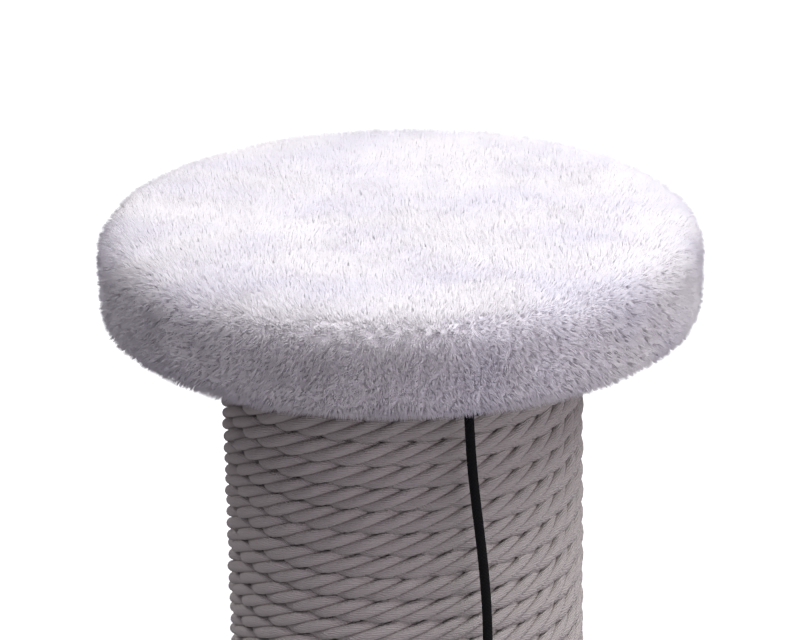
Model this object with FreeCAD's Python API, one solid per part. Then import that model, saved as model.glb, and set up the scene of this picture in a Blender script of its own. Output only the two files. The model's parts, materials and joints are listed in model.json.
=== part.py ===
import FreeCAD, Part
import math
import os

# Cat scratching post: a round base, a cardboard tube wound with cotton rope, a round padded platform,
# and a plush ball that hangs from the platform on an elastic cord.
# Millimetres. +Z is up, the floor is z = 0, the post stands on the Z axis and the front faces -Y.

Vector = FreeCAD.Vector
UP = Vector(0, 0, 1)
ORIGIN = Vector(0, 0, 0)

# Clearances
flat_fit = 0.1          # between round faces that touch in one assembly
thread_fit = 0.05       # radial, between a bolt or stud and its tee nut
loose_fit = 0.25        # radial, round a bolt or stud in wood, and at the ends of the winding
cord_fit = 0.3          # between pieces of the hanging toy that turn past each other

# Feet
foot_count = 6
foot_radius = 15.0
foot_height = 6.0
foot_edge = 1.0
foot_inset = 2.9        # from the felt's step in to the feet

# Felt linings under the base and the platform, and the fur that is folded in above them
felt_thickness = 1.0
folded_fur = 2.5
felt_overlap = 9.0      # how far the felt covers the folded fur

# Base
base_board_radius = 180.0
base_board_thickness = 15.0
base_fold_width = 23.0  # how far the fur is folded in under the board
base_fur_top = 8.0
base_fur_rim = 10.0
base_fur_pressed = 2.0  # under the post
post_seat_gap = 1.5     # between the pressed seat's edge and the rope
base_fur_below = 5.0
bolt_pocket_radius = 14.0
bolt_pocket_depth = 7.0

# Post
tube_length = 490.0
tube_radius = 66.5
tube_wall = 4.0
plug_thickness = 18.0
rope_diameter = 9.5
rope_gap = 0.5          # between one turn and the next
rope_bed = 0.15         # between the rope and the tube

# M8 fasteners
thread_radius = 4.0
nut_wall = 1.0
nut_barrel = 9.0
nut_flange_radius = 11.0
nut_flange = 1.5
nut_prong_circle = 8.6
nut_prong_length = 6.0
nut_prong_width = 3.0
nut_prong_thickness = 1.0
washer_radius = 12.0
washer_thickness = 1.6
bolt_head_radius = 8.0
bolt_head = 4.4
bolt_head_round = 2.5
bolt_socket = 5.0
bolt_socket_depth = 2.8
bolt_end_past_nut = 5.0
stud_end_past_nut = 4.0

# Platform
platform_overhang = 36.85   # how far the board reaches past the rope
platform_board_thickness = 18.0
board_edge = 1.5
foam_thickness = 10.0
platform_fur_top = 9.0
platform_fur_rim = 12.0
platform_fur_below = 7.0
crown = 1.2             # how much higher a cover's middle stands than its edge
crown_flat = 20.0

# Staples
staple_wire = 0.8
staple_crown = 10.0
staple_leg = 9.0
tube_staple_leg = 12.0
tube_staple_sunk = 0.3
rope_staple_crown = 6.0
rope_staple_leg = 11.0
rope_staple_sunk = 1.6
rope_staple_angle = 5.0
platform_staple_count = 20
base_staple_count = 28
tube_staple_count = 6

# Hanging toy
toy_azimuth = 16.7      # to the right of the front
toy_fit = 0.75          # between the ball, which leans on the post, and the rope
eye_wire = 1.8
eye_opening = 5.2
eye_shank_radius = 1.2
eye_shank_length = 13.0
eye_margin = 5.0        # from the screw eye out to the folded fur's cut edge
cord_diameter = 4.0
loop_knot_radius = 4.0
ball_radius = 19.0
ball_fur = 2.6
ball_knot_radius = 3.6
ball_knot_height = 11.0

# The elastic cord's route, from the knot at the screw eye to the knot in the ball:
# millimetres to the right, outward from the post, and down from the upper knot's centre.
cord_route = [
    (0.0, 0.0, loop_knot_radius + cord_fit),
    (0.5, 0.4, 22.3),
    (2.5, 1.0, 44.8),
    (5.0, 1.6, 69.3),
    (6.4, 2.2, 94.3),
    (5.9, 2.9, 118.3),
    (3.4, 3.5, 140.3),
    (0.9, 4.0, 156.8),
    (0.0, 4.4, 170.3),
]
arc_share = 0.45
ball_out = cord_route[-1][1]

# Heights that follow from the sizes
base_board_z = foot_height + felt_thickness
base_board_top = base_board_z + base_board_thickness
post_z = base_board_top + base_fur_pressed
post_top = post_z + tube_length
platform_board_z = post_top + felt_thickness
platform_board_top = platform_board_z + platform_board_thickness
foam_top = platform_board_top + foam_thickness
platform_top = foam_top + platform_fur_top

# The winding
rope_radius = rope_diameter / 2
winding_radius = tube_radius + rope_bed + rope_radius
rope_outside = winding_radius + rope_radius
winding_z = post_z + rope_radius + loose_fit
winding_rise = tube_length - rope_diameter - 2 * loose_fit
turn_count = math.floor(winding_rise / (rope_diameter + rope_gap) + 0.001)
rope_pitch = winding_rise / turn_count
lower_turns = turn_count // 2
upper_turns = turn_count - lower_turns

# The platform's plan, and the screw eye's place in it
platform_board_radius = rope_outside + platform_overhang
eye_circle_radius = rope_outside + toy_fit + ball_radius - ball_out
platform_cut_edge = eye_circle_radius + eye_margin
base_cut_edge = base_board_radius - base_fold_width
foot_circle_radius = base_cut_edge - flat_fit - felt_thickness - foot_inset - foot_radius

# The screw eye and the toy's turning points
eye_ring_radius = (eye_opening + eye_wire) / 2
eye_ring_z = post_top - cord_fit - eye_wire / 2 - eye_ring_radius
loop_z = eye_ring_z - eye_ring_radius
loop_radius = eye_wire / 2 + flat_fit + cord_diameter / 2
loop_knot_z = loop_z - loop_radius - loop_knot_radius / 2

toy_angle = math.radians(toy_azimuth)
toy_out = Vector(math.sin(toy_angle), -math.cos(toy_angle), 0)
toy_right = Vector(math.cos(toy_angle), math.sin(toy_angle), 0)

# Where the middle of a quarter round lies: this share of its radius from each side of the corner
quarter = 1 - math.sqrt(0.5)


# ---------------------------------------------------------------- shapes that are used by several pieces

def disc(radius, low, high):
    return Part.makeCylinder(radius, high - low, Vector(0, 0, low))


def turned(start, *steps):
    """A solid turned about Z. Each step is a point (r, z), or a pair of points for an arc."""
    edges = []
    here = Vector(start[0], 0, start[1])
    for step in steps + (start,):
        if isinstance(step[0], tuple):
            middle = Vector(step[0][0], 0, step[0][1])
            there = Vector(step[1][0], 0, step[1][1])
            edges.append(Part.Arc(here, middle, there).toShape())
        else:
            there = Vector(step[0], 0, step[1])
            edges.append(Part.LineSegment(here, there).toShape())
        here = there
    face = Part.Face(Part.Wire(edges))
    return face.revolve(ORIGIN, UP, 360)


def around(piece, count, first=0.0):
    """Copies of a piece, spread evenly round the Z axis."""
    copies = []
    for index in range(count):
        turned_copy = piece.copy()
        turned_copy.rotate(ORIGIN, UP, first + 360.0 * index / count)
        copies.append(turned_copy)
    return Part.makeCompound(copies)


def pipe(path, start, direction, radius):
    """A round bar along a path that leaves start in the given direction."""
    section = Part.Wire([Part.Circle(start, direction, radius).toShape()])
    shell = Part.BRepOffsetAPI.MakePipeShell(path)
    shell.add(section)
    shell.build()
    shell.makeSolid()
    return shell.shape()


def staple(crown_length, leg_length):
    """A staple whose crown lies along Y at z = 0, with its legs pointing up."""
    half = crown_length / 2
    outline = [
        (-half, 0),
        (half, 0),
        (half, leg_length),
        (half - staple_wire, leg_length),
        (half - staple_wire, staple_wire),
        (staple_wire - half, staple_wire),
        (staple_wire - half, leg_length),
        (-half, leg_length),
        (-half, 0),
    ]
    face = Part.Face(Part.makePolygon([Vector(-staple_wire / 2, y, z) for y, z in outline]))
    return face.extrude(Vector(staple_wire, 0, 0))


def tee_nut(face_z, into):
    """A tee nut whose flange lies on a face at face_z; its barrel and prongs go into the wood (into = 1 up, -1 down)."""
    barrel_radius = thread_radius + nut_wall
    nut = Part.makeCylinder(nut_flange_radius, nut_flange, Vector(0, 0, -nut_flange))
    nut = nut.fuse(Part.makeCylinder(barrel_radius, nut_barrel, ORIGIN))
    prong = Part.Face(Part.makePolygon([
        Vector(nut_prong_circle, -nut_prong_width / 2, -nut_flange / 2),
        Vector(nut_prong_circle, nut_prong_width / 2, -nut_flange / 2),
        Vector(nut_prong_circle, nut_prong_width / 2, nut_prong_length / 2),
        Vector(nut_prong_circle, 0, nut_prong_length),
        Vector(nut_prong_circle, -nut_prong_width / 2, nut_prong_length / 2),
        Vector(nut_prong_circle, -nut_prong_width / 2, -nut_flange / 2),
    ])).extrude(Vector(nut_prong_thickness, 0, 0))
    nut = nut.fuse(around(prong, 4).Solids)
    bore = Part.makeCylinder(thread_radius, nut_flange + nut_barrel, Vector(0, 0, -nut_flange))
    nut = nut.cut(bore).removeSplitter()
    if into < 0:
        nut.rotate(ORIGIN, Vector(1, 0, 0), 180)
    nut.translate(Vector(0, 0, face_z))
    return nut


def threaded_hole(low, high, nut_face, into):
    """What is drilled for a bolt or stud and for the tee nut's barrel."""
    hole = disc(thread_radius + loose_fit, low, high)
    barrel_end = nut_face + into * (nut_barrel + flat_fit)
    barrel = disc(thread_radius + nut_wall + flat_fit, min(nut_face, barrel_end), max(nut_face, barrel_end))
    return hole.fuse(barrel)


def rod(radius, low, high):
    """A bolt's or stud's shank, with a small lead at its upper end."""
    lead = radius / 4
    return turned((0, low), (radius, low), (radius, high - lead), (radius - lead, high), (0, high))


# ---------------------------------------------------------------- base

def base_feet():
    foot = turned(
        (0, 0),
        (foot_radius - foot_edge, 0),
        ((foot_radius - quarter * foot_edge, quarter * foot_edge), (foot_radius, foot_edge)),
        (foot_radius, foot_height),
        (0, foot_height),
    )
    foot.translate(Vector(foot_circle_radius, 0, 0))
    return around(foot, foot_count, 180 / foot_count)


def lining(hole_radius, cut_edge, board_z):
    """A felt disc on the underside of a board that steps down over the folded fur's cut edge."""
    step = cut_edge - flat_fit
    outer = cut_edge + felt_overlap
    low = board_z - folded_fur
    return turned(
        (hole_radius, board_z - felt_thickness),
        (step - felt_thickness, board_z - felt_thickness),
        (step - felt_thickness, low - felt_thickness),
        (outer, low - felt_thickness),
        (outer, low),
        (step, low),
        (step, board_z),
        (hole_radius, board_z),
    )


def base_lining():
    return lining(bolt_pocket_radius + loose_fit, base_cut_edge, base_board_z)


def base_board():
    board = turned(
        (0, base_board_z),
        (base_board_radius, base_board_z),
        (base_board_radius, base_board_top - board_edge),
        (base_board_radius - board_edge, base_board_top),
        (0, base_board_top),
    )
    pocket = disc(bolt_pocket_radius, base_board_z, base_board_z + bolt_pocket_depth)
    hole = disc(thread_radius + loose_fit, base_board_z, base_board_top)
    return board.cut(pocket).cut(hole)


def fur_under_edge(board_radius, cut_edge, board_z, rim, below):
    """The outline of a fur cover from its cut edge under the board, out to its widest line: start and steps."""
    felt_edge = cut_edge + felt_overlap + flat_fit
    pile_low = board_z - below
    plump = below - folded_fur
    widest = board_radius + rim
    return (
        (board_radius + flat_fit, board_z),
        (cut_edge, board_z),
        (cut_edge, board_z - folded_fur),
        (felt_edge, board_z - folded_fur),
        ((felt_edge + quarter * plump, pile_low + quarter * plump), (felt_edge + plump, pile_low)),
        (board_radius, pile_low),
        ((widest - quarter * rim, pile_low + quarter * rim), (widest, pile_low + rim)),
    )


def base_fur_cover():
    seat_radius = rope_outside + post_seat_gap
    seat_round = base_fur_top / 2
    top = base_board_top + base_fur_top
    widest = base_board_radius + base_fur_rim
    rounding = base_fur_rim
    return turned(
        (thread_radius + loose_fit, base_board_top),
        (base_board_radius + flat_fit, base_board_top),
        *fur_under_edge(base_board_radius, base_cut_edge, base_board_z, base_fur_rim, base_fur_below),
        (widest, top - crown - rounding),
        ((widest - quarter * rounding, top - crown - quarter * rounding), (widest - rounding, top - crown)),
        (((widest - rounding + seat_radius + seat_round) / 2, top - crown / 4), (seat_radius + seat_round, top)),
        ((seat_radius + quarter * seat_round, top - quarter * seat_round), (seat_radius, top - seat_round)),
        (seat_radius, post_z),
        (thread_radius + loose_fit, post_z),
    )


def base_staples():
    one = staple(staple_crown, staple_leg)
    crown_z = base_board_z - folded_fur - felt_thickness - staple_wire
    one.translate(Vector(base_cut_edge + felt_overlap / 2, 0, crown_z))
    return around(one, base_staple_count)


def base_washer():
    high = base_board_z + bolt_pocket_depth
    washer = disc(washer_radius, high - washer_thickness, high)
    return washer.cut(disc(thread_radius + loose_fit, high - washer_thickness, high))


def base_bolt():
    under_head = base_board_z + bolt_pocket_depth - washer_thickness
    low = under_head - bolt_head
    radius = thread_radius - thread_fit
    head = turned(
        (0, low),
        (bolt_head_radius - bolt_head_round, low),
        ((bolt_head_radius - quarter * bolt_head_round, low + quarter * bolt_head_round),
         (bolt_head_radius, low + bolt_head_round)),
        (bolt_head_radius, under_head),
        (0, under_head),
    )
    corners = [math.radians(60 * index) for index in range(7)]
    reach = bolt_socket / math.sqrt(3)
    hexagon = Part.makePolygon([Vector(reach * math.cos(a), reach * math.sin(a), low) for a in corners])
    socket = Part.Face(hexagon).extrude(Vector(0, 0, bolt_socket_depth))
    bolt_top = post_z + plug_thickness + nut_flange + bolt_end_past_nut
    return head.fuse(rod(radius, low + bolt_socket_depth, bolt_top)).cut(socket).removeSplitter()


# ---------------------------------------------------------------- post

def post_tube():
    return disc(tube_radius, post_z, post_top).cut(disc(tube_radius - tube_wall, post_z, post_top))


def plug(low, nut_face, into):
    high = low + plug_thickness
    body = disc(tube_radius - tube_wall - flat_fit, low, high)
    return body.cut(threaded_hole(low, high, nut_face, into))


def post_bottom_plug():
    return plug(post_z, post_z + plug_thickness, -1)


def post_top_plug():
    return plug(post_top - plug_thickness, post_top - plug_thickness, 1)


def post_bottom_tee_nut():
    return tee_nut(post_z + plug_thickness, -1)


def post_top_tee_nut():
    return tee_nut(post_top - plug_thickness, 1)


def post_stud():
    low = post_top - plug_thickness - nut_flange - stud_end_past_nut
    return rod(thread_radius - thread_fit, low, platform_board_top - nut_flange)


def tube_staples(height):
    """Staples through the tube into a plug, sunk a little so that the rope lies on a smooth tube."""
    one = staple(staple_crown, tube_staple_leg)
    one.rotate(ORIGIN, Vector(0, 1, 0), -90)
    one.translate(Vector(tube_radius - tube_staple_sunk, 0, height))
    return around(one, tube_staple_count)


def post_bottom_staples():
    return tube_staples(post_z + plug_thickness / 2)


def post_top_staples():
    return tube_staples(post_top - plug_thickness / 2)


def helix_point(turn):
    """A point of the winding's centre line and its direction; turns are counted from the bottom, at the back."""
    angle = 2 * math.pi * turn + math.pi / 2
    point = Vector(winding_radius * math.cos(angle), winding_radius * math.sin(angle),
                   winding_z + rope_pitch * turn)
    direction = Vector(-winding_radius * math.sin(angle), winding_radius * math.cos(angle),
                       rope_pitch / (2 * math.pi))
    return point, direction.normalize()


def arc_past(corner, start, end):
    """The arc from start to end that is tangent to the two lines meeting in corner."""
    reach = (start - corner).Length
    chord_middle = (start + end) * 0.5
    inward = chord_middle - corner
    sine = (start - chord_middle).Length / reach
    cosine = inward.Length / reach
    middle = corner + inward.normalize() * (reach * (1 - sine) / cosine)
    return Part.Arc(start, middle, end).toShape()


def biarc(start, start_direction, end, end_direction):
    """Two arcs that leave start and reach end along the given directions."""
    across = end - start
    both = start_direction + end_direction
    spread = 2 * (1 - start_direction.dot(end_direction))
    lean = across.dot(both)
    reach = (-lean + math.sqrt(lean * lean + spread * across.dot(across))) / spread
    first_corner = start + start_direction * reach
    second_corner = end - end_direction * reach
    joint = (first_corner + second_corner) * 0.5
    return [arc_past(first_corner, start, joint), arc_past(second_corner, joint, end)]


def least_gap(first_turn, turns):
    """The least gap between one turn of the rope and the next, measured on points of its centre line."""
    steps = 48
    points = [helix_point(first_turn + index / steps)[0] for index in range(int(turns * steps) + 1)]
    nearest = min(
        (points[index + step] - points[index]).Length
        for step in range(steps // 2, 2 * steps)
        for index in range(0, len(points) - step, 5)
    )
    return nearest - rope_diameter


def winding(name, first_turn, turns):
    edges = []
    for half_turn in range(2 * turns):
        start, start_direction = helix_point(first_turn + half_turn / 2)
        end, end_direction = helix_point(first_turn + (half_turn + 1) / 2)
        edges.extend(biarc(start, start_direction, end, end_direction))
    path = Part.Wire(edges)
    start, start_direction = helix_point(first_turn)
    rope = pipe(path, start, start_direction, rope_radius)
    full = math.pi * rope_radius ** 2 * path.Length
    print(f"{name}: {turns} turns, {path.Length / 1000:.2f} m, volume {rope.Volume / full:.4f} of section x length,"
          f" least gap to itself {least_gap(first_turn, turns):.2f} mm")
    return rope


def post_rope_lower():
    return winding("post_rope_lower", 0, lower_turns)


def post_rope_upper():
    return winding("post_rope_upper", lower_turns, upper_turns)


def post_rope_staples():
    """One staple near each of the four rope ends, sunk between the strands and through the tube."""
    share = rope_staple_angle / 360
    staples = []
    for turn in (share, lower_turns - share, lower_turns + share, turn_count - share):
        one = staple(rope_staple_crown, rope_staple_leg)
        one.rotate(ORIGIN, Vector(0, 1, 0), -90)
        one.rotate(ORIGIN, Vector(1, 0, 0), 90)
        one.translate(Vector(rope_outside - rope_staple_sunk, 0, 0))
        one.rotate(ORIGIN, UP, 360 * turn + 90)
        one.translate(Vector(0, 0, winding_z + rope_pitch * turn))
        staples.append(one)
    return Part.makeCompound(staples)


# ---------------------------------------------------------------- platform

def platform_board():
    radius = platform_board_radius
    board = turned(
        (0, platform_board_z),
        (radius, platform_board_z),
        (radius, platform_board_top - board_edge),
        (radius - board_edge, platform_board_top),
        (0, platform_board_top),
    )
    nut_face = platform_board_top - nut_flange
    recess = disc(nut_flange_radius + flat_fit, nut_face, platform_board_top)
    return board.cut(recess).cut(threaded_hole(platform_board_z, platform_board_top, nut_face, -1))


def platform_tee_nut():
    return tee_nut(platform_board_top - nut_flange, -1)


def platform_foam_pad():
    return disc(platform_board_radius, platform_board_top, foam_top)


def platform_fur_cover():
    widest = platform_board_radius + platform_fur_rim
    rounding = platform_fur_rim
    return turned(
        (0, foam_top),
        (platform_board_radius + flat_fit, foam_top),
        *fur_under_edge(platform_board_radius, platform_cut_edge, platform_board_z,
                        platform_fur_rim, platform_fur_below),
        (widest, platform_top - crown - rounding),
        ((widest - quarter * rounding, platform_top - crown - quarter * rounding),
         (widest - rounding, platform_top - crown)),
        (((widest - rounding + crown_flat) / 2, platform_top - crown / 4), (crown_flat, platform_top)),
        (0, platform_top),
    )


def platform_lining():
    return lining(thread_radius + loose_fit, platform_cut_edge, platform_board_z)


def platform_staples():
    one = staple(staple_crown, staple_leg)
    crown_z = platform_board_z - folded_fur - felt_thickness - staple_wire
    one.translate(Vector(platform_cut_edge + felt_overlap / 2, 0, crown_z))
    return around(one, platform_staple_count, 180 / platform_staple_count)


# ---------------------------------------------------------------- hanging toy

def at_eye(right, out, height):
    return toy_out * (eye_circle_radius + out) + toy_right * right + Vector(0, 0, height)


def toy_screw_eye():
    """A wire ring that faces outward, on a screw in the platform board."""
    ring = Part.makeTorus(eye_ring_radius, eye_wire / 2, at_eye(0, 0, eye_ring_z), toy_out)
    foot = at_eye(0, 0, eye_ring_z + eye_ring_radius)
    shank_top = post_top + eye_shank_length
    lead = 3 * eye_shank_radius
    shank = Part.makeCylinder(eye_shank_radius, shank_top - lead - foot.z, foot)
    tip = Part.makeCone(eye_shank_radius, 0, lead, Vector(foot.x, foot.y, shank_top - lead))
    return ring.fuse([shank, tip]).removeSplitter()


def toy_loop():
    """The elastic's end: up out of its knot, over the eye's wire and down into the knot again."""
    high = loop_radius * math.sin(math.pi / 4)
    inner_foot = at_eye(0, -loop_radius, loop_knot_z)
    outer_foot = at_eye(0, loop_radius, loop_knot_z)
    inner_side = at_eye(0, -loop_radius, loop_z)
    outer_side = at_eye(0, loop_radius, loop_z)
    top = at_eye(0, 0, loop_z + loop_radius)
    path = Part.Wire([
        Part.LineSegment(inner_foot, inner_side).toShape(),
        Part.Arc(inner_side, at_eye(0, -high, loop_z + high), top).toShape(),
        Part.Arc(top, at_eye(0, high, loop_z + high), outer_side).toShape(),
        Part.LineSegment(outer_side, outer_foot).toShape(),
    ])
    loop = pipe(path, inner_foot, UP, cord_diameter / 2)
    knot = Part.makeSphere(loop_knot_radius, at_eye(0, 0, loop_knot_z), toy_right)
    return knot.fuse(loop).removeSplitter()


def cord_points():
    return [at_eye(right, out, loop_knot_z - down) for right, out, down in cord_route]


def cord_path(points):
    """Straight runs joined by tangent arcs; each arc takes arc_share of the shorter run beside it."""
    edges = []
    radii = []
    here = points[0]
    for before, corner, after in zip(points, points[1:], points[2:]):
        back = before - corner
        ahead = after - corner
        reach = arc_share * min(back.Length, ahead.Length)
        half_turn = (math.pi - back.getAngle(ahead)) / 2
        radii.append(reach / math.tan(half_turn))
        start = corner + back.normalize() * reach
        end = corner + ahead.normalize() * reach
        edges.append(Part.LineSegment(here, start).toShape())
        edges.append(arc_past(corner, start, end))
        here = end
    edges.append(Part.LineSegment(here, points[-1]).toShape())
    return Part.Wire(edges), radii


def toy_cord():
    points = cord_points()
    path, radii = cord_path(points)
    cord = pipe(path, points[0], points[1] - points[0], cord_diameter / 2)
    full = math.pi * (cord_diameter / 2) ** 2 * path.Length
    print("toy_cord: arc radii", ", ".join(f"{radius:.0f}" for radius in radii), "mm")
    print(f"toy_cord: {path.Length:.1f} mm, volume {cord.Volume / full:.4f} of section x length")
    return cord


def ball_knot_centre():
    """The knot lies just past the cord's lower end, in line with its last run."""
    last_but_one, end = cord_points()[-2:]
    return end + (end - last_but_one).normalize() * (ball_knot_radius + cord_fit)


def ball_centre():
    return ball_knot_centre() - Vector(0, 0, ball_knot_height)


def cord_channel():
    """The way of the cord into the ball, from its knot."""
    last_but_one = cord_points()[-2]
    centre = ball_knot_centre()
    along = last_but_one - centre
    return Part.makeCylinder(cord_diameter / 2 + cord_fit, along.Length, centre, along)


def toy_ball_knot():
    return Part.makeSphere(ball_knot_radius, ball_knot_centre())


def toy_ball_stuffing():
    stuffing = Part.makeSphere(ball_radius - ball_fur - flat_fit, ball_centre())
    pocket = Part.makeSphere(ball_knot_radius + flat_fit, ball_knot_centre())
    return stuffing.cut(pocket).cut(cord_channel())


def toy_ball_cover():
    cover = Part.makeSphere(ball_radius, ball_centre()).cut(Part.makeSphere(ball_radius - ball_fur, ball_centre()))
    return cover.cut(cord_channel())


# ---------------------------------------------------------------- every piece in its own file

pieces = {
    "base_feet": base_feet,
    "base_lining": base_lining,
    "base_board": base_board,
    "base_fur_cover": base_fur_cover,
    "base_staples": base_staples,
    "base_washer": base_washer,
    "base_bolt": base_bolt,
    "post_tube": post_tube,
    "post_bottom_plug": post_bottom_plug,
    "post_bottom_tee_nut": post_bottom_tee_nut,
    "post_bottom_staples": post_bottom_staples,
    "post_top_plug": post_top_plug,
    "post_top_tee_nut": post_top_tee_nut,
    "post_top_staples": post_top_staples,
    "post_stud": post_stud,
    "post_rope_lower": post_rope_lower,
    "post_rope_upper": post_rope_upper,
    "post_rope_staples": post_rope_staples,
    "platform_board": platform_board,
    "platform_tee_nut": platform_tee_nut,
    "platform_foam_pad": platform_foam_pad,
    "platform_fur_cover": platform_fur_cover,
    "platform_lining": platform_lining,
    "platform_staples": platform_staples,
    "toy_screw_eye": toy_screw_eye,
    "toy_loop": toy_loop,
    "toy_cord": toy_cord,
    "toy_ball_knot": toy_ball_knot,
    "toy_ball_stuffing": toy_ball_stuffing,
    "toy_ball_cover": toy_ball_cover,
}

os.makedirs("parts", exist_ok=True)
for node, make in pieces.items():
    make().exportStep(f"parts/{node}.step")
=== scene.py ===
import json
import math

import bmesh
import bpy
import numpy as np
from mathutils import Matrix, Vector, kdtree, noise


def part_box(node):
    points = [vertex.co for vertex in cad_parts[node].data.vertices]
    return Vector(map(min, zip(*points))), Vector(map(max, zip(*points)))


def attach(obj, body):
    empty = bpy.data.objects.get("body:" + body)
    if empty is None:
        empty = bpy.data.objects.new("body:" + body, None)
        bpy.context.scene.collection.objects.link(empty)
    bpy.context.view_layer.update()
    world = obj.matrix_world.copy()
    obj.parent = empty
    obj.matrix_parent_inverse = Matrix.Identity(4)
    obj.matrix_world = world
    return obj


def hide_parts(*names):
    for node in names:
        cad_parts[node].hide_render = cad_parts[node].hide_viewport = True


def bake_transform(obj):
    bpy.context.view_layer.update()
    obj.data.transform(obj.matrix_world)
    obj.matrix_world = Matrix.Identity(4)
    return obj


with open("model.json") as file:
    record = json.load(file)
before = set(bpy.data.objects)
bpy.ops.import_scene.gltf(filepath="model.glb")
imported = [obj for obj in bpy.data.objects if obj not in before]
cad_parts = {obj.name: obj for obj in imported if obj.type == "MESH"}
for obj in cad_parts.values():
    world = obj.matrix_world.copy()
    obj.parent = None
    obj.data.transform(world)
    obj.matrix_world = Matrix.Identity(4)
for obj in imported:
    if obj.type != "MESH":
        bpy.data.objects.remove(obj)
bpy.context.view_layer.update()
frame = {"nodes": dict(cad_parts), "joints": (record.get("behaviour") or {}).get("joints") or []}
noise.seed_set(1)           # or else noise_vector takes its offsets from the clock


# ---------------------------------------------------------------- the view
# The post is seen a little from above through a long lens, as in the photograph, where its top sits high
# in the picture and leans a degree to the left.

picture_width_px = 800
focal_length_px = 3823
sensor_width_mm = 36
view_distance = 1.6
view_down = math.radians(21.26)
view_roll = math.radians(-1.0)
view_target = Vector((-0.0005, 0, 0.5039))

lens = bpy.data.cameras.new("camera")
lens.sensor_width = sensor_width_mm
lens.lens = focal_length_px * sensor_width_mm / picture_width_px
camera = bpy.data.objects.new("camera", lens)
bpy.context.collection.objects.link(camera)
looking = Matrix.Rotation(math.pi / 2 - view_down, 4, "X") @ Matrix.Rotation(view_roll, 4, "Z")
camera.matrix_world = Matrix.Translation(view_target) @ looking @ Matrix.Translation((0, 0, view_distance))
bpy.context.scene.camera = camera
bpy.context.scene.view_settings.view_transform = "Standard"


# ---------------------------------------------------------------- light and floor
# A large soft box above, smaller ones high on both sides, and weak ones in front and low on the right, of
# which the low one throws the cord's soft shadow, in a pale room. The floor is a plain pale sheet, which keeps
# the part's shadow and turns white for the camera away from it.

class Amount:
    """A value that varies over a surface; arithmetic on it adds the nodes that work it out."""

    def __init__(self, shading, socket):
        self.shading = shading
        self.socket = socket

    def __add__(self, other):
        return self.shading.worked_out("ADD", self, other)

    def __sub__(self, other):
        return self.shading.worked_out("SUBTRACT", self, other)

    def __mul__(self, other):
        return self.shading.worked_out("MULTIPLY", self, other)

    __radd__ = __add__


class Shading:
    """The nodes of a material or of the world. Every node is made by one method."""

    def __init__(self, owner):
        owner.use_nodes = True
        self.owner = owner
        self.tree = owner.node_tree
        self.tree.nodes.clear()

    def node(self, kind, sockets, output=0, **settings):
        made = self.tree.nodes.new("ShaderNode" + kind)
        for name, value in settings.items():
            setattr(made, name, value)
        for name, value in sockets.items():
            if isinstance(value, Amount):
                self.tree.links.new(value.socket, made.inputs[name])
            else:
                made.inputs[name].default_value = value
        return Amount(self, made.outputs[output]) if made.outputs else None

    def worked_out(self, operation, first, second):
        return self.node("Math", {0: first, 1: second}, operation=operation)

    def mixed(self, share, first, second):
        first = first if isinstance(first, Amount) else (*first, 1)
        second = second if isinstance(second, Amount) else (*second, 1)
        return self.node("Mix", {0: share, 6: first, 7: second}, output=2, data_type="RGBA")

    def place(self, scale=(1, 1, 1)):
        """The piece's own coordinates, in metres."""
        found = self.node("TexCoord", {}, output=3)
        return self.node("Mapping", {"Vector": found, "Scale": scale})

    def cloudy(self, place, size, detail=3.0, roughness=0.5):
        """Soft clouds from 0 to 1, whose spots are about size across, in metres."""
        sockets = {"Vector": place, "Scale": 1 / size, "Detail": detail, "Roughness": roughness}
        return self.node("TexNoise", sockets)

    def bumped(self, height, depth, strength=1.0):
        return self.node("Bump", {"Height": height, "Distance": depth, "Strength": strength})

    def finished(self, **sockets):
        """A surface whose sockets are named with _ in place of blanks, joined to the material's output."""
        named = {name.replace("_", " "): value for name, value in sockets.items()}
        surface = self.node("BsdfPrincipled", named)
        self.node("OutputMaterial", {"Surface": surface})
        return self.owner


def new_finish(name):
    """The nodes of a new material, which finished() joins and hands over."""
    return Shading(bpy.data.materials.new(name))


def new_object(name, data):
    made = bpy.data.objects.new(name, data)
    bpy.context.collection.objects.link(made)
    return made


def soft_box(name, azimuth, height, distance, size, power, colour):
    """A square lamp that faces the platform; azimuth is in degrees from the front to the right."""
    data = bpy.data.lights.new(name, "AREA")
    data.size = size
    data.energy = power
    data.color = colour
    lamp = new_object(name, data)
    turn, rise = math.radians(azimuth), math.radians(height)
    away = Vector((math.cos(rise) * math.sin(turn), -math.cos(rise) * math.cos(turn), math.sin(rise)))
    facing = away.to_track_quat("Z", "Y").to_matrix().to_4x4()
    lamp.matrix_world = Matrix.Translation(lamp_aim + away * distance) @ facing


lamp_aim = Vector((0, 0, 0.5))
soft_box("lamp_above", azimuth=120, height=80, distance=1.7, size=2.6, power=29.5, colour=(1.0, 0.985, 0.97))
soft_box("lamp_right", azimuth=66, height=54, distance=1.7, size=0.8, power=11.8, colour=(0.94, 0.94, 1.0))
soft_box("lamp_left", azimuth=-70, height=60, distance=1.7, size=1.0, power=9.2, colour=(0.96, 0.93, 1.0))
soft_box("lamp_front", azimuth=32, height=18, distance=2.0, size=1.2, power=9.6, colour=(0.96, 0.865, 1.0))
soft_box("lamp_low", azimuth=60, height=13, distance=2.0, size=0.55, power=2.8, colour=(1.0, 0.97, 0.97))

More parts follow.
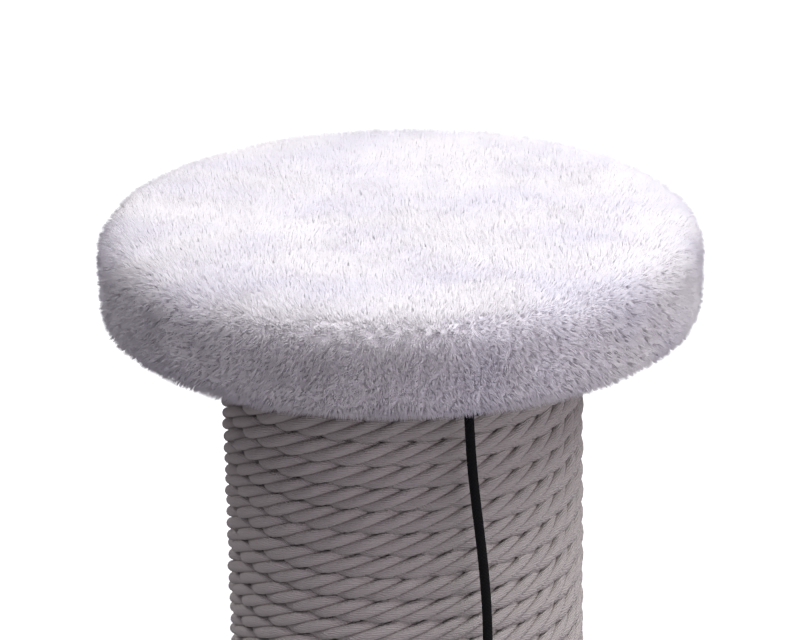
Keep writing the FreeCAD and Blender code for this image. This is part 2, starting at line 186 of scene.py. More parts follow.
room_light = 0.22
room_colour = (0.92, 0.80, 1.0)
room = bpy.data.worlds.new("room")
bpy.context.scene.world = room
shading = Shading(room)
sees_backdrop = shading.node("LightPath", {})
for ray in ("Is Glossy Ray", "Is Transmission Ray"):
    sees_backdrop = shading.worked_out("MAXIMUM", sees_backdrop, shading.node("LightPath", {}, output=ray))
ambient = shading.node("Background", {"Color": (*room_colour, 1), "Strength": room_light})
backdrop = shading.node("Background", {"Color": (1, 1, 1, 1), "Strength": 1.0})
surroundings = shading.node("MixShader", {0: sees_backdrop, 1: ambient, 2: backdrop})
shading.node("OutputWorld", {"Surface": surroundings})

floor_half = 6.0
floor_paint = (0.34, 0.34, 0.35, 1)
glow_from, glow_to = 0.3, 1.0           # distances from the post between which the floor turns white
glow_near, glow_far = 0.45, 1.0         # how much of the white the camera sees at each
sheet = bmesh.new()
bmesh.ops.create_grid(sheet, x_segments=1, y_segments=1, size=floor_half)
floor_mesh = bpy.data.meshes.new("floor")
sheet.to_mesh(floor_mesh)
sheet.free()
floor = new_object("floor", floor_mesh)
shading = new_finish("floor_white")
painted = shading.node("BsdfDiffuse", {"Color": floor_paint})
away = shading.node("VectorMath", {0: shading.place()}, output=1, operation="LENGTH")
whitened = shading.node("MapRange", {"Value": away, "From Min": glow_from, "From Max": glow_to,
                                     "To Min": glow_near, "To Max": glow_far})
glow_strength = shading.node("LightPath", {}) * whitened
glow = shading.node("Emission", {"Color": (1, 1, 1, 1), "Strength": glow_strength})
shading.node("OutputMaterial", {"Surface": shading.node("AddShader", {0: painted, 1: glow})})
floor_mesh.materials.append(shading.owner)


# ---------------------------------------------------------------- the elastic cord
# A black elastic, 4 mm thick, whose cover is braided. It is knotted round the screw eye under the platform
# and hangs in front of the post, drawn down by the ball, with the slow curve it kept from being wound up.

cord_diameter = 0.004
cord_braid = 0.0016         # length of one stitch
cord_braid_count = 8        # stitches round the cord
tube_sides = 16

knot_joint = next(joint for joint in frame["joints"] if joint["name"] == "toy_swing_side")
upper_knot = Vector(knot_joint["pos_m"])
outward = Vector(knot_joint["axis"])
rightward = Vector((-outward.y, outward.x, 0))
DOWN = Vector((0, 0, -1))

# To the right, outward from the post, and down from the upper knot's centre
cord_route = [
    (0.0, 0.0, 0.0043),
    (0.0005, 0.0004, 0.0223),
    (0.0025, 0.0010, 0.0448),
    (0.0050, 0.0016, 0.0693),
    (0.0064, 0.0022, 0.0943),
    (0.0059, 0.0029, 0.1183),
    (0.0034, 0.0035, 0.1403),
    (0.0009, 0.0040, 0.1568),
    (0.0, 0.0044, 0.1703),
]


def smooth_line(name, points):
    """The smooth line that a limp cord takes past its route's points."""
    curve = bpy.data.curves.new(name, "CURVE")
    curve.dimensions = "3D"
    curve.resolution_u = 16
    spline = curve.splines.new("NURBS")
    spline.points.add(len(points) - 1)
    for knot, point in zip(spline.points, points):
        knot.co = (*point, 1)
    spline.order_u = 3
    spline.use_endpoint_u = True
    holder = bpy.data.objects.new(name, curve)
    mesh = bpy.data.meshes.new_from_object(holder)
    line = [vertex.co.copy() for vertex in mesh.vertices]
    bpy.data.objects.remove(holder)
    bpy.data.meshes.remove(mesh)
    return line


def wrap_map(mesh, sides, metres_along):
    """A map of a tube made ring by ring: metres along it, and a share of a turn round it."""
    corner_vertex = np.empty(len(mesh.loops), np.int32)
    mesh.loops.foreach_get("vertex_index", corner_vertex)
    face_first = np.empty(len(mesh.polygons), np.int32)
    face_count = np.empty(len(mesh.polygons), np.int32)
    mesh.polygons.foreach_get("loop_start", face_first)
    mesh.polygons.foreach_get("loop_total", face_count)
    face = np.repeat(np.arange(len(face_first)), face_count)
    ring, side = np.divmod(corner_vertex, sides)
    crosses_seam = np.maximum.reduceat((side == sides - 1).astype(int), face_first)[face] == 1
    round_share = np.where(crosses_seam & (side == 0), sides, side) / sides
    along = np.asarray(metres_along)[np.minimum(ring, len(metres_along) - 1)]
    layer = mesh.uv_layers.new(name="OFBake")
    layer.uv.foreach_set("vector", np.column_stack([along, round_share]).astype(np.float32).ravel())


def tube(name, line, radius):
    """A round tube along a line, closed at its ends, with its map in metres along and turns round."""
    shape = bmesh.new()
    heading = (line[1] - line[0]).normalized()
    turn = heading.to_track_quat("Z", "X")
    rings = []
    travelled = [0.0]
    for index, point in enumerate(line):
        before = line[max(index - 1, 0)]
        after = line[min(index + 1, len(line) - 1)]
        new_heading = (after - before).normalized()
        turn = heading.rotation_difference(new_heading) @ turn
        heading = new_heading
        travelled.append(travelled[-1] + (after - point).length)
        placed = Matrix.Translation(point) @ turn.to_matrix().to_4x4()
        ring = bmesh.ops.create_circle(shape, segments=tube_sides, radius=radius, matrix=placed)
        rings.append(ring["verts"])
    for low, high in zip(rings, rings[1:]):
        for side in range(tube_sides):
            other = (side + 1) % tube_sides
            shape.faces.new((low[side], low[other], high[other], high[side]))
    shape.faces.new(reversed(rings[0]))
    shape.faces.new(rings[-1])
    for face in shape.faces:
        face.smooth = len(face.verts) == 4
    mesh = bpy.data.meshes.new(name)
    shape.to_mesh(mesh)
    shape.free()
    wrap_map(mesh, tube_sides, travelled)
    return new_object(name, mesh)


shading = new_finish("black_elastic")
tube_map = shading.node("UVMap", {}, uv_map="OFBake")
way = shading.node("SeparateXYZ", {"Vector": tube_map})
way_round = shading.node("SeparateXYZ", {"Vector": tube_map}, output=1)
stitch = way * (2 * math.pi / cord_braid)
turns = way_round * (2 * math.pi * cord_braid_count)
one_way = shading.node("Math", {0: stitch + turns}, operation="SINE")
other_way = shading.node("Math", {0: stitch - turns}, operation="SINE")
braid = shading.worked_out("MAXIMUM", one_way, other_way)
worn = shading.cloudy(shading.place(), 0.004)
black_elastic = shading.finished(
    Base_Color=shading.mixed(worn, (0.0015, 0.0015, 0.002), (0.005, 0.005, 0.0055)),
    Roughness=0.75 + braid * 0.08,
    Specular_IOR_Level=0.12,
    Normal=shading.bumped(braid, 0.0002, 0.6),
)

cord_points = [
    upper_knot + rightward * right + outward * out + DOWN * down
    for right, out, down in cord_route
]
cord_line = smooth_line("cord_line", cord_points)
elastic_cord = tube("elastic_cord", cord_line, cord_diameter / 2)
elastic_cord.data.materials.append(black_elastic)
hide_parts("toy_cord")


# ---------------------------------------------------------------- the cord's knots
# The elastic passes over the eye's wire and is tied to itself in a barrel of two tight turns.
# Its other end has a plain round knot, which holds it inside the ball.

eye_joint = next(joint for joint in frame["joints"] if joint["name"] == "toy_swing_out")
eye_wire_radius = 0.0009
loop_radius = eye_wire_radius + 0.0001 + cord_diameter / 2
barrel_radius = 0.0031
barrel_turns = 2
barrel_pitch = 0.0033
barrel_lift = 0.001
barrel_thinned = 0.92       # the turns are drawn tight
loop_steps = 12
loop_sunk = 0.001           # its ends go into the knot


def loop_line():
    """Up out of the knot on the post's side, over the eye's wire and down on the outer side."""
    top = Vector(eye_joint["pos_m"])
    line = [upper_knot - outward * loop_radius + DOWN * loop_sunk]
    for step in range(loop_steps + 1):
        angle = math.pi * (1 - step / loop_steps)
        line.append(top + outward * math.cos(angle) * loop_radius - DOWN * math.sin(angle) * loop_radius)
    line.append(upper_knot + outward * loop_radius + DOWN * loop_sunk)
    return line


def barrel_line():
    """The turns round both sides of the loop, from the bottom up."""
    steps = 24
    line = []
    for step in range(barrel_turns * steps + 1):
        turned = step / steps
        angle = 2 * math.pi * turned
        reach = rightward * math.cos(angle) + outward * math.sin(angle)
        rise = (turned - barrel_turns / 2) * barrel_pitch + barrel_lift
        line.append(upper_knot + reach * barrel_radius - DOWN * rise)
    return line


cord_loop = tube("cord_loop", loop_line(), cord_diameter / 2)
cord_barrel_knot = tube("cord_barrel_knot", barrel_line(), cord_diameter / 2 * barrel_thinned)
for piece in (cord_loop, cord_barrel_knot):
    piece.data.materials.append(black_elastic)
    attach(piece, "toy_top")
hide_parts("toy_loop")
frame["nodes"]["toy_ball_knot"].data.materials[0] = black_elastic


# ---------------------------------------------------------------- the rope
# Four-strand cotton rope, 9.5 mm thick and soft laid, wound tightly round the tube in two lengths. The
# strands lie flat against each other, and each is spun from fine yarns that run almost along the rope.

rope_diameter = 0.0095
rope_bed = 0.00015
strand_centre = 0.0029      # from the rope's middle to a strand's
strand_radius = 0.0024      # before its neighbours press it flat
strands = 4
lobes_per_turn = 36.02      # strands that pass the front in one turn round the post
rope_sides = 24
rope_steps = 160            # rings in one turn
rope_height_share = 1.10    # the turns fill the hollows between them
rope_wander = 0.00030
yarns_in_strand = 9
rope_turns = 24             # in each of the two lengths
rope_sunk = 0.0003
waves_per_turn = 5.3        # of the rope's wander
lumps_per_turn = 14.0       # of a strand's thickness
strand_lumps = 0.10
yarn_lay = 0.85             # share of the strand's own slant that the yarns take up


def strand_reach(share):
    """How far the rope's outline stands from its middle, at a share of the way round it."""
    sector = 2 * math.pi / strands
    off = (share * 2 * math.pi) % sector - sector / 2
    return strand_centre * np.cos(off) + np.sqrt(strand_radius ** 2 - (strand_centre * np.sin(off)) ** 2)


tube_low, tube_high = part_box("post_tube")
winding_radius = tube_high.x + rope_bed + rope_diameter / 2


def wound_rope(name, node, first_turn):
    """One length of rope: a strip is rolled into a tube, twisted into strands and wound round the post."""
    low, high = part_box(node)
    pitch = (high.z - low.z - rope_diameter) / rope_turns
    low_z = low.z + rope_diameter / 2
    steps = rope_turns * rope_steps
    shape = bmesh.new()
    strip_map = shape.loops.layers.uv.new("strand")
    bmesh.ops.create_grid(shape, x_segments=steps, y_segments=rope_sides, size=0.5, calc_uvs=True)
    strip = np.array([vertex.co for vertex in shape.verts])
    turn = (strip[:, 0] + 0.5) * rope_turns
    share = strip[:, 1] + 0.5       # of the way round the rope
    step = np.rint(turn * rope_steps).astype(int)
    strand = np.floor(share * strands + 1e-4).astype(int) % strands
    wander = np.array([noise.noise_vector(Vector((at / rope_steps * waves_per_turn, first_turn, 0.5)))
                       for at in range(steps + 1)])[step]
    lumps = np.array([[noise.noise(Vector((at / rope_steps * lumps_per_turn, first_turn + each * 7.3, 2.5)))
                       for each in range(strands)] for at in range(steps + 1)])[step, strand]
    angle = 2 * np.pi * turn + np.pi / 2
    twist = 2 * np.pi * (share + (turn + first_turn) * lobes_per_turn / strands) + 0.5 * wander[:, 2]
    reach = strand_reach(share) * (1 + strand_lumps * lumps)
    out = winding_radius - rope_sunk + reach * np.cos(twist) + rope_wander * wander[:, 0]
    up = rope_height_share * reach * np.sin(twist) + 1.3 * rope_wander * wander[:, 1]
    place = np.column_stack([out * np.cos(angle), out * np.sin(angle), low_z + pitch * turn + up])
    for vertex, co in zip(shape.verts, place):
        vertex.co = co
    seam = [vertex for vertex in shape.verts if vertex.is_boundary]
    bmesh.ops.remove_doubles(shape, verts=seam, dist=1e-6)
    bmesh.ops.holes_fill(shape, edges=[edge for edge in shape.edges if edge.is_boundary], sides=rope_sides)
    bmesh.ops.recalc_face_normals(shape, faces=shape.faces)
    rows = shape.loops.layers.uv.new("OFBake")
    for face in shape.faces:
        corners = [loop[strip_map].uv.copy() for loop in face.loops]
        row = math.floor(min(corner.x for corner in corners) * rope_turns + 1e-3)
        for loop, corner in zip(face.loops, corners):
            loop[rows].uv = (corner.x * rope_turns - row, (row + 0.02 + 0.96 * corner.y) / rope_turns)
    mesh = bpy.data.meshes.new(name)
    shape.to_mesh(mesh)
    shape.free()
    mesh.shade_smooth()
    mesh.set_sharp_from_angle(angle=math.radians(48))
    rope = new_object(name, mesh)
    rope.data.materials.append(cotton_rope)
    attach(rope, "post")
    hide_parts(node)


yarn_slant = 2 * math.pi * yarns_in_strand * lobes_per_turn * rope_turns * yarn_lay
shading = new_finish("cotton_rope")
strand_place = shading.node("UVMap", {}, uv_map="strand")
along = shading.node("SeparateXYZ", {"Vector": strand_place})
across = shading.node("SeparateXYZ", {"Vector": strand_place}, output=1)
uneven = shading.cloudy(shading.place(), 0.006)
yarn_phase = across * (2 * math.pi * strands * yarns_in_strand) + along * yarn_slant + uneven * 12.0
yarn = shading.node("Math", {0: yarn_phase}, operation="SINE")
fibre = shading.cloudy(shading.place(), 0.0009, detail=4.0, roughness=0.7)
tint = shading.cloudy(shading.place(), 0.035)
# Painted shade: the creases between the strands are coloured darker, (0.32, 0.285, 0.26), for the shade that
# falls in them.
crown = shading.node("Math", {0: across * (math.pi * strands)}, operation="SINE")
crown = shading.node("Math", {0: crown}, operation="ABSOLUTE")
out_of_painted_crease_shade = shading.node("MapRange", {"Value": crown, "From Min": 0.0, "From Max": 0.26})
cotton = shading.mixed(tint, (0.43, 0.40, 0.368), (0.515, 0.483, 0.447))
fuzzed = shading.mixed(fibre * 0.65 + yarn * 0.08, cotton, (0.66, 0.63, 0.59))
cotton_rope = shading.finished(
    Base_Color=shading.mixed(out_of_painted_crease_shade, (0.32, 0.285, 0.26), fuzzed),
    Roughness=0.88,
    Normal=shading.bumped(yarn * 0.4 + fibre, 0.00045, 0.8),
)

wound_rope("rope_lower", "post_rope_lower", 0)
wound_rope("rope_upper", "post_rope_upper", rope_turns)


# ---------------------------------------------------------------- the platform's fur
# A disc of white faux fur, drawn over the foam and the board and folded in under its edge. The backing is
# hidden by a dense pile, 5 mm deep, that stands up on top, leans outwards and down on the side, and clumps.

pile_depth = 0.0036
backing_step = 0.004        # between the points of a cover's outline
cover_steps = 200           # round the platform
lump_size = 0.035
lump_height = 0.0011
fibres_in_clump = 26
clump_drift = 0.014         # size of the spots in which the fibres lean one way
stroke_drift = 0.05         # size of the wider ones


def arc(centre_r, centre_z, radius, first, last):
    """Points of a round edge, as (distance from the axis, height). Angles are in degrees, 0 is outwards."""
    count = max(3, round(abs(math.radians(last - first)) * radius / backing_step) + 1)
    angles = [math.radians(first + (last - first) * index / (count - 1)) for index in range(count)]
    return [(centre_r + radius * math.cos(a), centre_z + radius * math.sin(a)) for a in angles]


def between(first, last):
    """Points that divide a straight stretch of an outline, without its last."""
    count = max(1, round(math.dist(first, last) / backing_step))
    across, up = last[0] - first[0], last[1] - first[1]
    return [(first[0] + across * index / count, first[1] + up * index / count) for index in range(count)]


def outline_through(*stretches):
    """One outline from arcs and corner points, with the straight stretches between them divided."""
    points = []
    for stretch in stretches:
        stretch = [stretch] if isinstance(stretch[0], float) else stretch
        if points:
            points += between(points.pop(), stretch[0])
        points += stretch
    return points


def turned_cover(name, outer, inner, steps, finish, lumps=0.0):
    """A closed cover turned from its outer and inner outlines; its outer side may be lumpy."""
    shape = bmesh.new()
    for outline, is_outer in ((outer, 1), (inner, 0)):
        verts = [shape.verts.new((r, 0, z)) for r, z in outline]
        edges = [shape.edges.new((a, b)) for a, b in zip(verts, verts[1:])]
        bmesh.ops.spin(shape, geom=verts + edges, cent=(0, 0, 0), axis=(0, 0, 1), angle=2 * math.pi,
                       steps=steps, use_merge=True)
        for face in shape.faces:
            if not face.tag:
                face.tag = True
                face.material_index = 1 - is_outer
    bmesh.ops.remove_doubles(shape, verts=shape.verts, dist=1e-6)
    bmesh.ops.recalc_face_normals(shape, faces=shape.faces)
    for vertex in shape.verts:
        if all(face.material_index == 0 for face in vertex.link_faces):
            vertex.co += vertex.normal * noise.noise(vertex.co / lump_size) * lumps
    for face in shape.faces:
        face.smooth = True
    mesh = bpy.data.meshes.new(name)
    shape.to_mesh(mesh)
    shape.free()
    mesh.materials.append(finish)
    mesh.materials.append(finish)
    return new_object(name, mesh)


def roots_on(outline, centre, count, seed, lumps):
    """Evenly scattered places on what an outline turns into, with the surface's direction there."""
    line = np.array(outline)
    step = np.diff(line, axis=0)
    along = np.vstack([step[:1], (step[1:] + step[:-1]) / 2, step[-1:]])
    facing = np.column_stack([-along[:, 1], along[:, 0]])
    facing /= np.linalg.norm(facing, axis=1, keepdims=True)
    area = np.linalg.norm(step, axis=1) * (line[1:, 0] + line[:-1, 0])
    draw = np.random.default_rng(seed)
    part = draw.choice(len(step), count, p=area / area.sum())
    share = draw.random((count, 1))
    turn = draw.random(count) * 2 * np.pi
    point = line[part] + step[part] * share
    way = facing[part] * (1 - share) + facing[part + 1] * share
    root = np.column_stack([point[:, 0] * np.cos(turn), point[:, 0] * np.sin(turn), point[:, 1]])
    normal = np.column_stack([way[:, 0] * np.cos(turn), way[:, 0] * np.sin(turn), way[:, 1]])
    normal /= np.linalg.norm(normal, axis=1, keepdims=True)
    lump = np.array([[noise.noise(Vector(place) / lump_size)] for place in root])
    return root + np.array(centre) + normal * lump * lumps, normal


def drift(points, size):
    """A smooth random direction at each point, which changes over about size."""
    return np.array([noise.noise_vector(Vector(point) / size) for point in points])


def fibres(name, root, tip, width, seed):
    """One mesh of closed, pointed fibres, each a three-sided spike with a place of its own on the map."""
    count = len(root)
    draw = np.random.default_rng(seed)
    spike = bmesh.new()
    bmesh.ops.create_cone(spike, cap_ends=True, segments=3, radius1=1, radius2=0, depth=1,
                          matrix=Matrix.Translation((0, 0, 0.5)))
    bmesh.ops.remove_doubles(spike, verts=spike.verts, dist=1e-6)
    shape = np.array([vertex.co for vertex in spike.verts])
    corners = np.array([[vertex.index for vertex in face.verts] for face in spike.faces])
    spike.free()
    along = tip - root
    length = np.linalg.norm(along, axis=1, keepdims=True)
    along = along / length
    side = np.cross(along, draw.normal(size=(count, 3)))
    side /= np.linalg.norm(side, axis=1, keepdims=True)
    other = np.cross(along, side)
    place = (root[:, None]
             + shape[None, :, 0:1] * (side * width)[:, None]
             + shape[None, :, 1:2] * (other * width)[:, None]
             + shape[None, :, 2:3] * (along * length)[:, None])
    mesh = bpy.data.meshes.new(name)
    mesh.vertices.add(count * 4)
    mesh.vertices.foreach_set("co", place.astype(np.float32).ravel())
    index = (corners[None] + 4 * np.arange(count)[:, None, None]).astype(np.int32).ravel()
    mesh.loops.add(count * 12)
    mesh.loops.foreach_set("vertex_index", index)
    mesh.polygons.add(count * 4)
    mesh.polygons.foreach_set("loop_start", np.arange(0, count * 12, 3, dtype=np.int32))
    mesh.update(calc_edges=True)
    cells = math.ceil(math.sqrt(count))
    cell = np.stack(np.divmod(np.arange(count), cells), axis=1)
    corner_of_cell = np.array([(0.1, 0.1), (0.9, 0.1), (0.1, 0.9), (0.9, 0.9)])
    spots = (cell[index // 4] + corner_of_cell[index % 4]) / cells
    layer = mesh.uv_layers.new(name="OFBake")
    layer.uv.foreach_set("vector", spots.astype(np.float32).ravel())
    return new_object(name, mesh)


def grow_pile(name, outline, count, depth, width, seed, parts=1, centre=(0, 0, 0), lumps=lump_height,
              combed=0.0, lowest=0.0):
    """A clumping pile on what an outline turns into, in one or more meshes, combed outwards at its edge."""
    root, normal = roots_on(outline, centre, count, seed, lumps)
    draw = np.random.default_rng(seed + 1)
    level = np.abs(normal[:, 2:3])
    lean = (0.75 - 0.3 * level) * drift(root, clump_drift) + 0.35 * drift(root, stroke_drift)
    lean = lean + 0.16 * draw.normal(size=(count, 3))
    droop = (1 - level) * np.array([[0, 0, -0.35]])
    out = root * np.array([[1, 1, 0]])
    reach = np.linalg.norm(out, axis=1, keepdims=True)
    way = normal + lean + droop + combed * out / reach * (reach / reach.max()) ** 6
    way /= np.linalg.norm(way, axis=1, keepdims=True)
    rise = np.clip(np.sum(way * normal, axis=1, keepdims=True), 0.45, 1)
    length = depth * (0.72 + 0.42 * draw.random((count, 1))) / rise ** 0.6
    tip = root + way * length
    clump_count = max(8, count // fibres_in_clump)
    clumps = kdtree.KDTree(clump_count)
    chosen = draw.choice(count, clump_count, replace=False)
    for place, clump in enumerate(chosen):
        clumps.insert(Vector(root[clump]), place)
    clumps.balance()
    nearest = chosen[[clumps.find(Vector(point))[1] for point in root]]
    pull = (0.6 - 0.4 * level) * (0.5 + 0.6 * draw.random((count, 1)))
    tip = tip + (tip[nearest] - tip) * pull
    tip[:, 2] = np.maximum(tip[:, 2], lowest + 0.001 * draw.random(count))
    root = root - normal * 0.0006
    turn = np.arctan2(root[:, 1], root[:, 0]) / (2 * np.pi) + 0.5
    pieces = []
    for part in range(parts):
        here = (turn * parts).astype(int).clip(0, parts - 1) == part
        label = f"{name}_{part + 1}" if parts > 1 else name
        thick = width * (0.75 + 0.5 * draw.random((here.sum(), 1)))
        pile = fibres(label, root[here], tip[here], thick, seed + 2 + part)
        pile.data.materials.append(white_fur)
        pieces.append(pile)
    return pieces


shading = new_finish("white_fur")
patches = shading.cloudy(shading.place((1, 1.6, 1)), 0.05, detail=2.0)
patches = shading.node("MapRange", {"Value": patches, "From Min": 0.42, "From Max": 0.64})
speckle = shading.cloudy(shading.place(), 0.0012, detail=2.0)
tinted = shading.mixed(patches, (0.965, 0.955, 0.95), (0.89, 0.88, 0.93))
fur_colour = shading.mixed(speckle * 0.6, tinted, (0.88, 0.87, 0.90))
white_fur = shading.finished(Base_Color=fur_colour, Roughness=0.9, Specular_IOR_Level=0.2)

shading = new_finish("fur_backing")
curls = shading.cloudy(shading.place(), 0.0016, detail=4.0, roughness=0.7)
fur_backing = shading.finished(
    Base_Color=shading.mixed(curls, (0.84, 0.83, 0.86), (0.96, 0.95, 0.955)),
    Roughness=0.95,
    Normal=shading.bumped(curls, 0.0015, 0.8),
)

cover_low, cover_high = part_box("platform_fur_cover")
board_low, board_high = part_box("platform_board")
foam_low, foam_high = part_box("platform_foam_pad")
felt_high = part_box("platform_lining")[1]
folded_fur = 0.0025
board_gap = 0.0001
sag = 0.0034                # of the top towards its edge
crowned = 0.0022            # how far the foam lifts the middle
fold_in = 0.009             # how far the felt covers the folded edge
platform_fibres = 175000
rim = cover_high.x - board_high.x
top_round = rim - pile_depth + 0.001


def cover_outlines(board, low, high, felt_edge, inside_top, middle):
    """Outer and inner outline of a cover over a round board, from the middle of its top to its cut edge."""
    edge = board[1].x
    widest = edge + rim - pile_depth
    round_low = rim - pile_depth - 0.001
    fold = board[0].z - folded_fur
    outer = outline_through(
        middle,
        arc(widest - top_round, high - pile_depth - sag - top_round, top_round, 90, 0),
        arc(widest - round_low, low + pile_depth + round_low - 0.002, round_low, 0, -90),
        (felt_edge + 0.004, low + pile_depth - 0.002),
        (felt_edge, fold),
        (felt_edge - fold_in, fold),
    )
    inner = [
        (felt_edge - fold_in, fold),
        (felt_edge - fold_in, board[0].z),
        (edge + board_gap, board[0].z),
        (edge + board_gap, inside_top),
        (middle[0], inside_top),
        middle,
    ]
    return outer, inner


outer, inner = cover_outlines((board_low, board_high), cover_low.z, cover_high.z + crowned, felt_high.x,
                              foam_high.z, (0.0, cover_high.z + crowned - pile_depth))
platform_cover = turned_cover("platform_cover", outer, inner, cover_steps, fur_backing, lump_height)
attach(platform_cover, "post")
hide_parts("platform_fur_cover")
for pile in grow_pile("platform_pile", outer[:-2], platform_fibres, 0.0047, 0.00024, seed=11, parts=4,
                      combed=0.9, lowest=cover_low.z):
    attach(pile, "post")


# ---------------------------------------------------------------- the base's fur
# The same fur on a larger board. Its round seat in the middle is pressed flat by the post, and it is
# folded in and stapled under the board, above the feet.

base_board_low, base_board_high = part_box("base_board")
base_cover_low, base_cover_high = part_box("base_fur_cover")
base_felt_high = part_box("base_lining")[1]
seat_gap = 0.0015
seat_round = 0.003
seat_fall = 0.002           # the seat's flat part ends this far inside its round edge
base_cover_steps = 260
base_fibres = 130000
seat_radius = winding_radius + rope_diameter / 2 + seat_gap
bolt_hole = 0.00425

rim = base_cover_high.x - base_board_high.x
top_round = rim - pile_depth
outer, inner = cover_outlines((base_board_low, base_board_high), base_cover_low.z, base_cover_high.z,
                              base_felt_high.x, base_board_high.z, (bolt_hole, tube_low.z))
seat = outline_through(
    (bolt_hole, tube_low.z),
    (seat_radius - seat_fall, tube_low.z),
    arc(seat_radius + seat_round, base_cover_high.z - pile_depth - seat_round, seat_round, 180, 90),
)
base_cover = turned_cover("base_cover", seat + outer[1:], inner, base_cover_steps, fur_backing, lump_height)
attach(base_cover, "post")
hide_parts("base_fur_cover")
for pile in grow_pile("base_pile", seat[-4:] + outer[1:-2], base_fibres, 0.0050, 0.00036, seed=31, parts=4,
                      combed=0.9, lowest=base_cover_low.z):
    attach(pile, "post")


# ---------------------------------------------------------------- the ball
# A plush ball as large as a ping-pong ball, in the same fur over a round lump of filling. The cord goes in
# at its top, where the pile parts.

ball_low, ball_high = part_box("toy_ball_cover")
ball_centre = (ball_low + ball_high) / 2
ball_radius = (ball_high.x - ball_low.x) / 2
ball_pile = 0.0042
ball_fibres = 22000
ball_dents = 0.012          # their size across
ball_dent_depth = 0.0005
filling_gap = 0.0006


def plush_ball(name, radius, finish):
    shape = bmesh.new()
    bmesh.ops.create_icosphere(shape, subdivisions=4, radius=radius, matrix=Matrix.Translation(ball_centre))
    for vertex in shape.verts:
        vertex.co += vertex.normal * noise.noise(vertex.co / ball_dents) * ball_dent_depth
    for face in shape.faces:
        face.smooth = True
    mesh = bpy.data.meshes.new(name)
    shape.to_mesh(mesh)
    shape.free()
    mesh.materials.append(finish)
    return new_object(name, mesh)


shading = new_finish("fibre_filling")
tangle = shading.cloudy(shading.place(), 0.0012, detail=4.0, roughness=0.75)
fibre_filling = shading.finished(
    Base_Color=shading.mixed(tangle, (0.86, 0.86, 0.85), (0.96, 0.96, 0.95)),
    Roughness=0.95,
    Normal=shading.bumped(tangle, 0.0012, 0.7),
)
stuffing_low, stuffing_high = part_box("toy_ball_stuffing")
stuffing_radius = (stuffing_high.x - stuffing_low.x) / 2 - filling_gap
ball_stuffing = plush_ball("ball_stuffing", stuffing_radius, fibre_filling)
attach(ball_stuffing, "toy_ball")
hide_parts("toy_ball_stuffing")

ball_cover = plush_ball("ball_cover", ball_radius - ball_pile, fur_backing)
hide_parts("toy_ball_cover")
ball_outline = arc(0, 0, ball_radius - ball_pile, 90, -90)
ball_pieces = [ball_cover] + grow_pile("ball_pile", ball_outline, ball_fibres, 0.0044, 0.00024, seed=51,
                                       centre=ball_centre, lumps=0)
for piece in ball_pieces:
    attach(piece, "toy_ball")

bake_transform(elastic_cord)


# ---------------------------------------------------------------- the foam under the fur
# A disc of soft foam, 10 mm thick, glued to the platform's board, which makes the top a cushion to lie on.

foam_edge = 0.003

shading = new_finish("foam")
cell = shading.node("TexVoronoi", {"Vector": shading.place(), "Scale": 1 / 0.0008})
foam_finish = shading.finished(
    Base_Color=shading.mixed(cell, (0.92, 0.89, 0.79), (0.80, 0.76, 0.64)),
    Roughness=0.95,
    Normal=shading.bumped(cell, 0.0004, 0.5),
)
pad = bmesh.new()
bmesh.ops.create_cone(pad, cap_ends=True, segments=120, radius1=foam_high.x, radius2=foam_high.x,
                      depth=foam_high.z - foam_low.z,
                      matrix=Matrix.Translation((0, 0, (foam_low.z + foam_high.z) / 2)))
rim_edges = [edge for edge in pad.edges if all(vertex.co.z > foam_high.z - 1e-5 for vertex in edge.verts)]
bmesh.ops.bevel(pad, geom=rim_edges, offset=foam_edge, affect="EDGES", segments=4, profile=0.5, material=-1)
bmesh.ops.recalc_face_normals(pad, faces=pad.faces)
foam_mesh = bpy.data.meshes.new("foam_pad")
pad.to_mesh(foam_mesh)
pad.free()
foam_mesh.materials.append(foam_finish)
foam_mesh.shade_smooth()
foam_mesh.set_sharp_from_angle(angle=math.radians(40))
foam_pad = new_object("foam_pad", foam_mesh)
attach(foam_pad, "post")
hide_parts("platform_foam_pad")


# ---------------------------------------------------------------- the felt linings
# Discs of grey felt, 1 mm thick, under the base and the platform. Each lies on the board, steps down over
# the folded fur and is held by the ring of staples through its edge.

felt_thickness = 0.001
felt_steps = 160
bolt_head_hole = 0.01425

shading = new_finish("felt_lining")
felt_fibre = shading.cloudy(shading.place(), 0.0011, detail=5.0, roughness=0.8)
felt_patch = shading.cloudy(shading.place(), 0.02)
felt = shading.mixed(felt_patch, (0.66, 0.65, 0.64), (0.76, 0.75, 0.74))
felt_finish = shading.finished(
    Base_Color=shading.mixed(felt_fibre * 0.5, felt, (0.84, 0.83, 0.82)),
    Roughness=0.95,
    Normal=shading.bumped(felt_fibre, 0.0005, 0.6),
)


def felt_lining(name, node, hole):
    low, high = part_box(node)
    outer = high.x
    step = outer - fold_in
    inner_step = step - felt_thickness
    inner_low = high.z - felt_thickness
    under = [(hole, high.z), (hole, inner_low), (inner_step, inner_low), (inner_step, low.z), (outer, low.z)]
    outer_high = low.z + felt_thickness
    above = [(outer, low.z), (outer, outer_high), (step, outer_high), (step, high.z), (hole, high.z)]
    lining = turned_cover(name, under, above, felt_steps, felt_finish)
    lining.data.set_sharp_from_angle(angle=math.radians(40))
    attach(lining, "post")
    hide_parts(node)


felt_lining("base_felt", "base_lining", bolt_head_hole)
felt_lining("platform_felt", "platform_lining", bolt_hole)


# ---------------------------------------------------------------- the boards and the plugs
# The base and the platform are round boards of pressed wood chips, and so are the two thick plugs that are
# stapled into the tube's ends.

def finish_nodes(finish, *names):
    for name in names:
        mesh = frame["nodes"][name].data
        mesh.materials.clear()
        mesh.materials.append(finish)


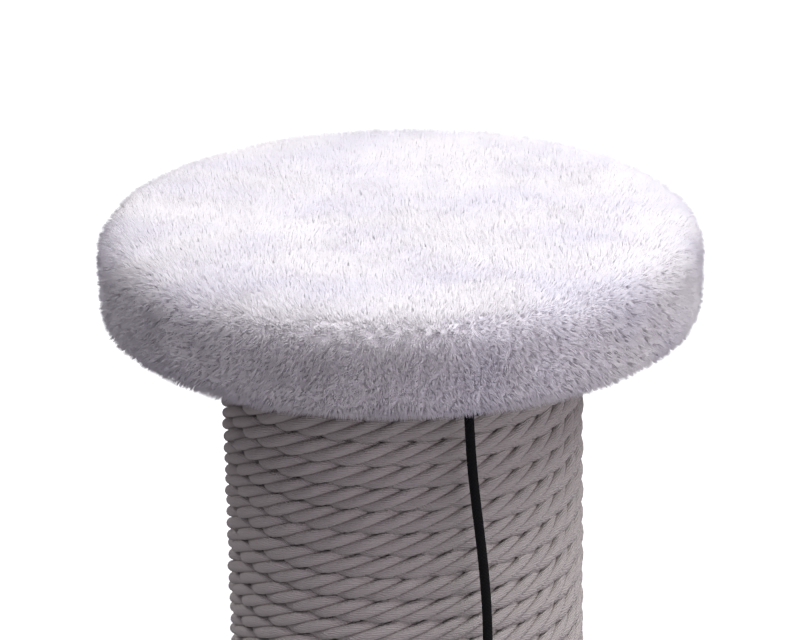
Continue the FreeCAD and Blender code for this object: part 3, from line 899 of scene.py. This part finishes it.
shading = new_finish("particle_board")
chip_place = shading.place((1, 1, 2.2))
chip = shading.node("TexVoronoi", {"Vector": chip_place, "Scale": 1 / 0.0032}, output=1)
chip_shade = shading.node("SeparateXYZ", {"Vector": chip})
chip_fibre = shading.cloudy(chip_place, 0.0014, detail=4.0)
wood = shading.mixed(chip_shade, (0.50, 0.37, 0.235), (0.70, 0.555, 0.385))
particle_board = shading.finished(
    Base_Color=shading.mixed(chip_fibre * 0.5, wood, (0.60, 0.455, 0.30)),
    Roughness=0.75 + chip_fibre * 0.15,
    Normal=shading.bumped(chip_shade + chip_fibre, 0.0003, 0.4),
)
finish_nodes(particle_board, "base_board", "platform_board", "post_bottom_plug", "post_top_plug")


# ---------------------------------------------------------------- the tube
# The post's core: brown paper wound in a slanting band and glued into a tube with a wall of 4 mm.

paper_band = 0.09

shading = new_finish("cardboard_tube")
tube_place = shading.place()
tube_x = shading.node("SeparateXYZ", {"Vector": tube_place})
tube_y = shading.node("SeparateXYZ", {"Vector": tube_place}, output=1)
tube_z = shading.node("SeparateXYZ", {"Vector": tube_place}, output=2)
tube_turn = shading.worked_out("ARCTAN2", tube_y, tube_x) * (1 / (2 * math.pi))
band = shading.node("Math", {0: tube_z * (1 / paper_band) + tube_turn}, operation="FRACT")
in_band = shading.node("MapRange", {"Value": band, "From Min": 0.0, "From Max": 0.012})
pulp = shading.cloudy(shading.place(), 0.0015, detail=5.0, roughness=0.7)
paper = shading.mixed(pulp, (0.53, 0.395, 0.265), (0.66, 0.52, 0.375))
cardboard = shading.finished(
    Base_Color=shading.mixed(in_band, (0.36, 0.26, 0.17), paper),
    Roughness=0.85,
    Normal=shading.bumped(in_band + pulp * 0.2, 0.0003, 0.5),
)
finish_nodes(cardboard, "post_tube")


# ---------------------------------------------------------------- the steel fixings
# A stud through the platform's board, a bolt with its washer through the base, the tee nuts that they screw
# into, the screw eye and all the staples are zinc plated steel.

shading = new_finish("zinc_plated_steel")
spangle = shading.cloudy(shading.place(), 0.003, detail=2.0)
handled = shading.cloudy(shading.place(), 0.0007, detail=3.0)
zinc = shading.finished(
    Base_Color=shading.mixed(spangle, (0.60, 0.61, 0.63), (0.72, 0.73, 0.75)),
    Metallic=1.0,
    Roughness=0.26 + spangle * 0.12 + handled * 0.08,
)
finish_nodes(zinc, "post_stud", "base_bolt", "base_washer", "post_bottom_tee_nut", "post_top_tee_nut",
             "platform_tee_nut", "toy_screw_eye", "base_staples", "platform_staples", "post_bottom_staples",
             "post_top_staples", "post_rope_staples")


# ---------------------------------------------------------------- the feet
# Six round pads of black rubber, glued under the base, keep it from sliding and lift the staples off the
# floor.

shading = new_finish("foot_pad")
pebbled = shading.cloudy(shading.place(), 0.0008, detail=3.0)
rubber = shading.finished(
    Base_Color=shading.mixed(pebbled, (0.018, 0.018, 0.020), (0.04, 0.04, 0.043)),
    Roughness=0.7 + pebbled * 0.15,
    Normal=shading.bumped(pebbled, 0.0002, 0.4),
)
finish_nodes(rubber, "base_feet")
